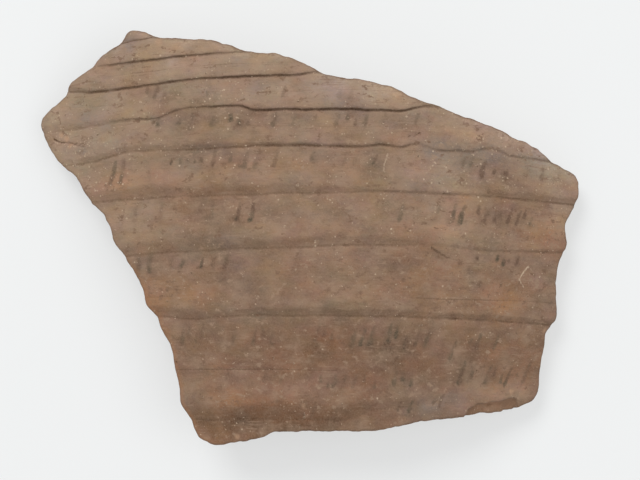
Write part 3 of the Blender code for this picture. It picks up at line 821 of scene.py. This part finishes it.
class Nodes:
    """Short words for building one material."""

    def __init__(self, name):
        self.material = bpy.data.materials.new(name)
        self.material.use_nodes = True
        self.tree = self.material.node_tree
        self.shader = self.tree.nodes["Principled BSDF"]

    def add(self, kind, inputs, **settings):
        """A new node with its inputs linked or set."""
        node = self.tree.nodes.new("ShaderNode" + kind)
        for name, value in settings.items():
            setattr(node, name, value)
        for name, value in inputs.items():
            self.put(node, name, value)
        return node

    def put(self, node, name, value):
        if isinstance(value, bpy.types.NodeSocket):
            self.tree.links.new(value, node.inputs[name])
        else:
            node.inputs[name].default_value = value

    def math(self, operation, a, b=0.0, c=0.0, clamp=False):
        return self.add("Math", {0: a, 1: b, 2: c}, operation=operation, use_clamp=clamp).outputs[0]

    def product(self, value, *factors):
        """The value times every factor."""
        for factor in factors:
            value = self.math("MULTIPLY", value, factor)
        return value

    def shaken(self, value, noise, amount):
        """The value with a noise from 0 to 1 added evenly about it."""
        return self.math("ADD", value, self.math("MULTIPLY_ADD", noise, amount, -0.5 * amount))

    def remap(self, value, low, high, to_low=0.0, to_high=1.0):
        """Ease from one value to the other while the input goes from low to high."""
        inputs = {"Value": value, "From Min": low, "From Max": high}
        inputs.update({"To Min": to_low, "To Max": to_high})
        node = self.add("MapRange", inputs, interpolation_type="SMOOTHSTEP")
        return node.outputs["Result"]

    def parts(self, name):
        """The three numbers stored under a name."""
        vector = self.add("Attribute", {}, attribute_name=name).outputs["Vector"]
        return list(self.add("SeparateXYZ", {0: vector}).outputs)

    def stretched(self, place, times):
        """The same place, with what is drawn on it so many times longer along u."""
        inputs = {0: place, 1: (1 / times, 1, 1)}
        return self.add("VectorMath", inputs, operation="MULTIPLY").outputs[0]

    def noise(self, place, size, detail=2.0, roughness=0.5):
        """Noise from 0 to 1 with lumps of the given size."""
        inputs = {"Vector": place, "Scale": 1 / size, "Detail": detail, "Roughness": roughness}
        return self.add("TexNoise", inputs).outputs["Fac"]

    def mottles(self, place, size, amounts):
        """Unlike noises about 0, as strong as the amounts."""
        inputs = {"Vector": place, "Scale": 1 / size, "Detail": 5.0, "Roughness": 0.68}
        colour = self.add("TexNoise", inputs).outputs["Color"]
        bands = self.add("SeparateColor", {0: colour}).outputs
        return [self.math("MULTIPLY_ADD", band, a, -0.5 * a) for band, a in zip(bands[1:], amounts)]

    def tinted(self, colour, steps, change):
        """The colour with a change to each of its lights, times the steps."""
        inputs = {0: steps, 1: change, 2: (1, 1, 1)}
        gain = self.add("VectorMath", inputs, operation="MULTIPLY_ADD").outputs[0]
        return self.add("VectorMath", {0: colour, 1: gain}, operation="MULTIPLY").outputs[0]

    def bent(self, place, size, amount):
        """The same place, pushed about so that what is drawn on it is uneven."""
        push = self.add("TexNoise", {"Vector": place, "Scale": 1 / size}).outputs["Color"]
        inputs = {0: push, 1: (amount, amount, amount), 2: place}
        return self.add("VectorMath", inputs, operation="MULTIPLY_ADD").outputs[0]

    def specks(self, place, size, share):
        """Soft dots, some fainter, about one in each cell of the given size; a share are shown."""
        cells = self.add("TexVoronoi", {"Vector": place, "Scale": 1 / size})
        chance = self.add("SeparateColor", {0: cells.outputs["Color"]}).outputs
        shown = self.math("LESS_THAN", chance[0], share)
        dots = self.remap(cells.outputs["Distance"], 0.2, 0.48, 1, 0)
        return self.product(dots, shown, self.remap(chance[1], 0, 1, 0.2, 1))

    def blend(self, share, a, b):
        """Colour a with a share of colour b."""
        return self.add("Mix", {0: share, 6: a, 7: b}, data_type="RGBA").outputs[2]

    def stained(self, colour, share, stain):
        """The colour with a share of a screen colour in it."""
        return self.blend(share, colour, linear(*stain))


def stored_marks(n):
    """What add_marks stored at each point, and two noises that several effects share."""
    m = SimpleNamespace()
    m.wall = n.add("Attribute", {}, attribute_name="wall").outputs["Vector"]
    m.u, m.v = n.add("SeparateXYZ", {0: m.wall}).outputs[:2]
    m.above, m.tall, m.run = n.parts("ribs")
    m.within, m.dark, m.chipped = n.parts("writing")
    m.tones = n.parts("tone")
    m.gritty, m.side, m.rim = n.parts("grit")
    m.cut, m.cut_tone = n.parts("cuts")[:2]
    m.broken, m.flaked, m.hair = n.parts("damage")
    m.uneven = n.noise(m.wall, 0.8, 3.0, 0.7)
    m.worn = n.noise(m.wall, 1.3, 3.0, 0.7)
    return m


def fired_clay(n, m, cloud):
    """The clay's skin: broad tones, a rim above paler from wear and a painted highlight, clouds, turning
    streaks and scuffs.
    """
    # Brown below and paler above, with patches lighter, warmer or greener.
    colour = n.blend(n.remap(m.v, -58, 58), linear(*CLAY_LOW), linear(*CLAY_HIGH))
    lights = n.noise(n.stretched(m.wall, 1.4), 6.0, 6.0, 0.64)
    mottles = [n.math("MULTIPLY_ADD", lights, LIGHT_MOTTLING, -0.5 * LIGHT_MOTTLING)]
    mottles += n.mottles(n.stretched(m.wall, 1.5), 7.0, COLOUR_MOTTLING)
    for tone, mottle, change in zip(m.tones, mottles, (LIGHTER, WARMER, GREENER)):
        colour = n.tinted(colour, n.math("ADD", tone, mottle), change)

    # The upper rim is paler, worn and with a painted highlight where the light from above catches it, most
    # of all in a thin line along the break.
    lit_and_worn_rim = n.product(n.remap(m.rim, 0.8, 6.5, BROAD_RIM_HIGHLIGHT, 0), n.remap(m.v, 8, 28))
    from_middle = n.math("ABSOLUTE", n.math("SUBTRACT", m.u, 14.0))
    lit_and_worn_edge = n.product(
        n.remap(m.rim, 0.4, 2.3, THIN_EDGE_HIGHLIGHT, 0), n.remap(m.v, 20, 28),
        n.remap(from_middle, 12, 28, 0.3, 1), n.remap(m.u, -58, -48))
    colour = n.tinted(colour, n.math("ADD", lit_and_worn_rim, lit_and_worn_edge), RIM_HIGHLIGHT_AND_WEAR)
    colour = n.stained(colour, n.remap(cloud, 0.45, 0.75, 0, CLOUD_PALE), CLAY_PALE)
    colour = n.stained(colour, n.remap(cloud, 0.25, 0.5, CLOUD_DARK, 0), CLAY_DIRT)

    # Streaks of turning, and fine scratches in some parts.
    streak = n.noise(n.stretched(m.wall, 6.0), 1.2, 4.0, 0.66)
    colour = n.stained(colour, n.remap(streak, 0.5, 0.75, 0, STREAK_STRENGTH), CLAY_PALE)
    colour = n.stained(colour, n.remap(streak, 0.25, 0.5, STREAK_STRENGTH, 0), CLAY_DIRT)
    scratch = n.noise(n.stretched(m.wall, 14.0), 0.5, 2.0, 0.6)
    scratched = n.remap(n.noise(m.wall, 8.0, 2.0), 0.48, 0.62)
    pale = n.product(n.remap(scratch, 0.59, 0.66, 0, SCRATCH_PALE), scratched)
    dark = n.product(n.remap(scratch, 0.34, 0.41, SCRATCH_DARK, 0), scratched)
    colour = n.stained(n.stained(colour, pale, CLAY_PALE), dark, CLAY_DIRT)

    # Scuffs: small places with crisp edges, worn pale or stained dark, more of them in some parts.
    scuff = n.noise(n.bent(n.stretched(m.wall, 1.4), 1.2, 0.9), 1.8, 5.0, 0.66)
    scuffed = n.remap(n.noise(m.wall, 11.0, 2.0), 0.35, 0.6, 0.35, 1)
    pale = n.product(n.remap(scuff, 0.57, 0.65, 0, SCUFF_STRENGTH), scuffed)
    dark = n.product(n.remap(scuff, 0.35, 0.43, SCUFF_STRENGTH, 0), scuffed)
    return n.stained(n.stained(colour, pale, CLAY_PALE), dark, CLAY_DIRT)


def with_creases(n, m, colour):
    """Creases hold dirt and painted shade in a thin uneven line, hair lines get painted shade too, and
    fronts get painted shade that makes them darker than backs.
    """
    place = n.shaken(m.above, m.uneven, 0.5)
    up_front = n.remap(n.math("DIVIDE", place, m.run), 0.7, 1.08, 1, 0)
    # Painted shade on each rib's front, which faces away from the light above.
    front = n.product(n.remap(place, -0.3, 0.1), up_front, m.tall, FRONT_SHADE_STRENGTH)
    colour = n.stained(colour, front, FRONT_SHADE)
    # The crease line: dirt, and painted shade where the lip shades the groove below it.
    line = n.product(
        n.remap(n.math("ABSOLUTE", n.math("ADD", place, 0.02)), 0.12, 0.52, 1, 0),
        n.remap(n.noise(m.wall, 4.0, 2.0), 0.3, 0.6, 0.45, 1),
        n.remap(m.run, 0.5, 3.0, NARROW_CREASE, WIDE_CREASE), n.remap(m.tall, 0.1, 0.7))
    colour = n.stained(colour, line, DIRT_AND_SHADE)
    # Hair lines are darkened with painted shade and dirt.
    return n.stained(colour, n.remap(m.hair, 0.03, 0.12, 0, HAIR_STRENGTH), DIRT_AND_SHADE)


def with_ink(n, m, colour):
    """Ink, broken up where it has rubbed off, and smeared a little round about."""
    faded = n.remap(n.noise(m.wall, 3.2, 2.0), 0.34, 0.58, 0.45, 1)
    inked = n.remap(n.shaken(m.within, m.worn, 2.4), -INK_SOFTNESS, 0.6)
    inked = n.product(inked, INK_STRENGTH, faded)
    smeared = n.remap(n.noise(m.wall, 4.0, 2.0), 0.4, 0.65, 0, INK_SMEAR)
    smear = n.product(smeared, n.remap(m.within, OUTSIDE_INK, 0))
    inked = n.math("MINIMUM", n.product(n.math("MAXIMUM", inked, smear), m.dark), 1.0)
    rusty = n.remap(n.noise(m.wall, 6.0, 2.0), 0.42, 0.6)
    return n.blend(inked, colour, n.blend(rusty, linear(*INK), linear(*INK_RUSTY)))


def with_damage(n, m, colour, crumbs, open_clay):
    """The breaks, the chips, the cuts and the scar of the lost flake."""
    # Breaks: a greyer core between warm margins, with pale grit and dark pits.
    from_core = n.math("ABSOLUTE", n.math("SUBTRACT", m.side, 0.5))
    body = n.blend(n.remap(from_core, 0.15, 0.45), linear(*BREAK_CORE), linear(*BREAK_MARGIN))
    grit = n.noise(m.wall, 1.6, 3.0, 0.6)
    body = n.stained(body, n.remap(grit, 0.4, 0.65, 0, BREAK_PALE), CLAY_PALE)
    body = n.stained(body, n.remap(crumbs, 0.3, 0.48, BREAK_DARK, 0), BREAK_PITS)
    colour = n.blend(n.product(open_clay, BREAK_STRENGTH), colour, body)
    pale_chip = n.math("MULTIPLY", m.chipped, CHIP_STRENGTH, clamp=True)
    dark_chip = n.math("MULTIPLY", m.chipped, -CHIP_STRENGTH, clamp=True)
    colour = n.stained(n.stained(colour, pale_chip, CHIP_PALE), dark_chip, DIRT_AND_SHADE)

    # Cracks and scratches, pale or dark.
    cut = n.remap(n.shaken(m.cut, m.uneven, 1.0), -0.4, 0.6)
    pale_cut = n.product(cut, n.math("MAXIMUM", m.cut_tone, 0.0))
    dark_cut = n.product(cut, n.math("MULTIPLY", m.cut_tone, -1.0, clamp=True))
    colour = n.stained(n.stained(colour, pale_cut, LIME), dark_cut, DIRT_AND_SHADE)

    # The flake's scar is browner than the skin round it, and dark along its upper edge with painted shade
    # where its slope turns from the light.
    colour = n.stained(colour, n.remap(m.flaked, 0.2, 0.9, 0, SCAR_STRENGTH), SCAR)
    off_edge = n.math("ABSOLUTE", n.math("SUBTRACT", m.flaked, 0.35))
    edge = n.remap(off_edge, 0.1, 0.35, SCAR_EDGE_STRENGTH, 0)
    return n.stained(colour, edge, DIRT_AND_SHADE)


def with_rim(n, m, colour):
    """The rim is orange along the lower left, and has a thin line of painted shade all round, where the
    break turns away.
    """
    orange = n.remap(n.math("MULTIPLY_ADD", m.uneven, 2.0, m.rim), 1.4, 3.0, ORANGE_STRENGTH, 0)
    lower_left = n.product(n.remap(m.u, -25, -35), n.remap(m.v, 2, -8))
    colour = n.stained(colour, n.product(orange, lower_left), RIM_ORANGE)
    # Painted shade in a thin line along the rim, standing for the break seen edge-on.
    ragged_rim = n.math("MULTIPLY_ADD", m.uneven, 0.6, n.math("SUBTRACT", m.rim, 0.3))
    rim_shade = n.product(
        n.remap(ragged_rim, 0.15, 0.65, 1, 0), RIM_SHADE_STRENGTH,
        n.remap(n.noise(m.wall, 9.0, 2.0), 0.35, 0.6, 0.35, 0.75), n.remap(m.side, 0.1, 0.3, 1, 0))
    return n.stained(colour, rim_shade, RIM_SHADE)


def with_dust(n, m, colour, pits, grain):
    """A faint pale dusting inside, lime specks that crowd in some places, dark pits and grain."""
    dusting = n.noise(n.bent(m.wall, 3.0, 2.0), 15.0, 6.0, 0.66)
    dusting = n.product(n.remap(dusting, 0.4, 0.78, 0, DUSTING_STRENGTH), n.remap(m.side, 0.97, 1.0))
    colour = n.stained(colour, dusting, DUSTING)
    crowd = n.math("MULTIPLY_ADD", n.noise(m.wall, 2.4, 4.0, 0.65), 2.6, -1.3)
    crowd = n.math("ADD", n.product(m.gritty, 0.55), crowd, clamp=True)
    crowd = n.math("MULTIPLY_ADD", crowd, n.remap(m.v, -40, 45, 0.18, 0.46), 0.003)
    place = n.bent(m.wall, 0.3, 0.5)
    lime = n.math("MAXIMUM", n.specks(place, 0.8, crowd), n.specks(place, 0.5, crowd))
    colour = n.stained(colour, n.product(lime, LIME_STRENGTH), LIME)
    colour = n.stained(colour, n.product(pits, PIT_STRENGTH), DIRT_AND_SHADE)
    return n.stained(colour, n.remap(grain, 0.25, 0.75, 0, GRAIN_STRENGTH), CLAY_PALE)


def clay_material():
    """Fired clay: mottled, streaked by turning, dusted with lime, dirty and painted with shade in the
    creases, inked.
    """
    n = Nodes("weathered_clay")
    m = stored_marks(n)
    cloud = n.noise(n.stretched(m.wall, 1.5), 5.0, 4.0, 0.6)
    crumbs = n.noise(n.bent(m.wall, 0.8, 0.6), 0.9, 4.0, 0.7)
    grain = n.noise(m.wall, 0.45, 3.0, 0.65)
    pits = n.specks(n.bent(m.wall, 0.5, 0.6), 0.8, PIT_SHARE)
    open_clay = n.remap(n.shaken(m.broken, m.worn, 0.5), 0.4, 0.75)

    colour = with_ink(n, m, with_creases(n, m, fired_clay(n, m, cloud)))
    colour = with_rim(n, m, with_damage(n, m, colour, crumbs, open_clay))
    n.put(n.shader, "Base Color", with_dust(n, m, colour, pits, grain))
    n.put(n.shader, "Roughness", n.remap(cloud, 0.2, 0.8, ROUGHEST, SMOOTHEST))
    n.put(n.shader, "Specular IOR Level", CLAY_SHEEN)
    bumps = n.math("MULTIPLY_ADD", n.noise(m.wall, 1.2, 3.0, 0.6), 1.5, grain)
    bumps = n.math("MULTIPLY_ADD", pits, -0.6, bumps)
    bumps = n.math("ADD", bumps, n.product(crumbs, open_clay, 3.0))
    inputs = {"Height": bumps, "Strength": BUMP_STRENGTH, "Distance": BUMP_HEIGHT}
    n.put(n.shader, "Normal", n.add("Bump", inputs).outputs["Normal"])
    return n.material


def pale_floor():
    """The pale surface that the sherd lies on, glowing a little so that shadows stay faint."""
    mesh = bpy.data.meshes.new("floor")
    half = FLOOR_SIZE / 2
    corners = [(-half, -half, 0), (half, -half, 0), (half, half, 0), (-half, half, 0)]
    mesh.from_pydata(corners, [], [(0, 1, 2, 3)])
    floor = bpy.data.objects.new("floor", mesh)
    bpy.context.scene.collection.objects.link(floor)
    n = Nodes("pale_paper")
    n.put(n.shader, "Base Color", FLOOR_COLOUR)
    n.put(n.shader, "Roughness", FLOOR_ROUGHNESS)
    n.put(n.shader, "Emission Color", FLOOR_GLOW_COLOUR)
    n.put(n.shader, "Emission Strength", FLOOR_GLOW)
    mesh.materials.append(n.material)


def soft_lights():
    """Wide soft lights above, the stronger one beyond the top of the sherd and to the left."""
    for name, place, size, power in LIGHTS:
        data = bpy.data.lights.new(name, "AREA")
        data.shape = "DISK"
        data.size = size
        data.energy = power
        light = bpy.data.objects.new(name, data)
        light.location = place
        light.rotation_euler = (-Vector(place)).to_track_quat("-Z", "Y").to_euler()
        bpy.context.scene.collection.objects.link(light)
    world = bpy.data.worlds.new("studio")
    world.use_nodes = True
    sky = world.node_tree.nodes["Background"].inputs
    sky["Color"].default_value = SKY_COLOUR
    sky["Strength"].default_value = SKY_STRENGTH
    bpy.context.scene.world = world


def camera_above():
    """The camera looks straight down."""
    data = bpy.data.cameras.new("camera")
    data.lens = CAMERA_LENS
    data.sensor_width = CAMERA_SENSOR
    camera = bpy.data.objects.new("camera", data)
    camera.location = CAMERA_PLACE
    bpy.context.scene.collection.objects.link(camera)
    bpy.context.scene.camera = camera
    bpy.context.scene.view_settings.view_transform = "Standard"


def main():
    """Build the sherd, bind it to its body, and set the stage."""
    piece = fine_sherd()
    piece.data.materials.append(clay_material())
    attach(piece, "root")
    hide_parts("sherd")
    pale_floor()
    soft_lights()
    camera_above()
    print("triangles", len(piece.data.polygons))


main()
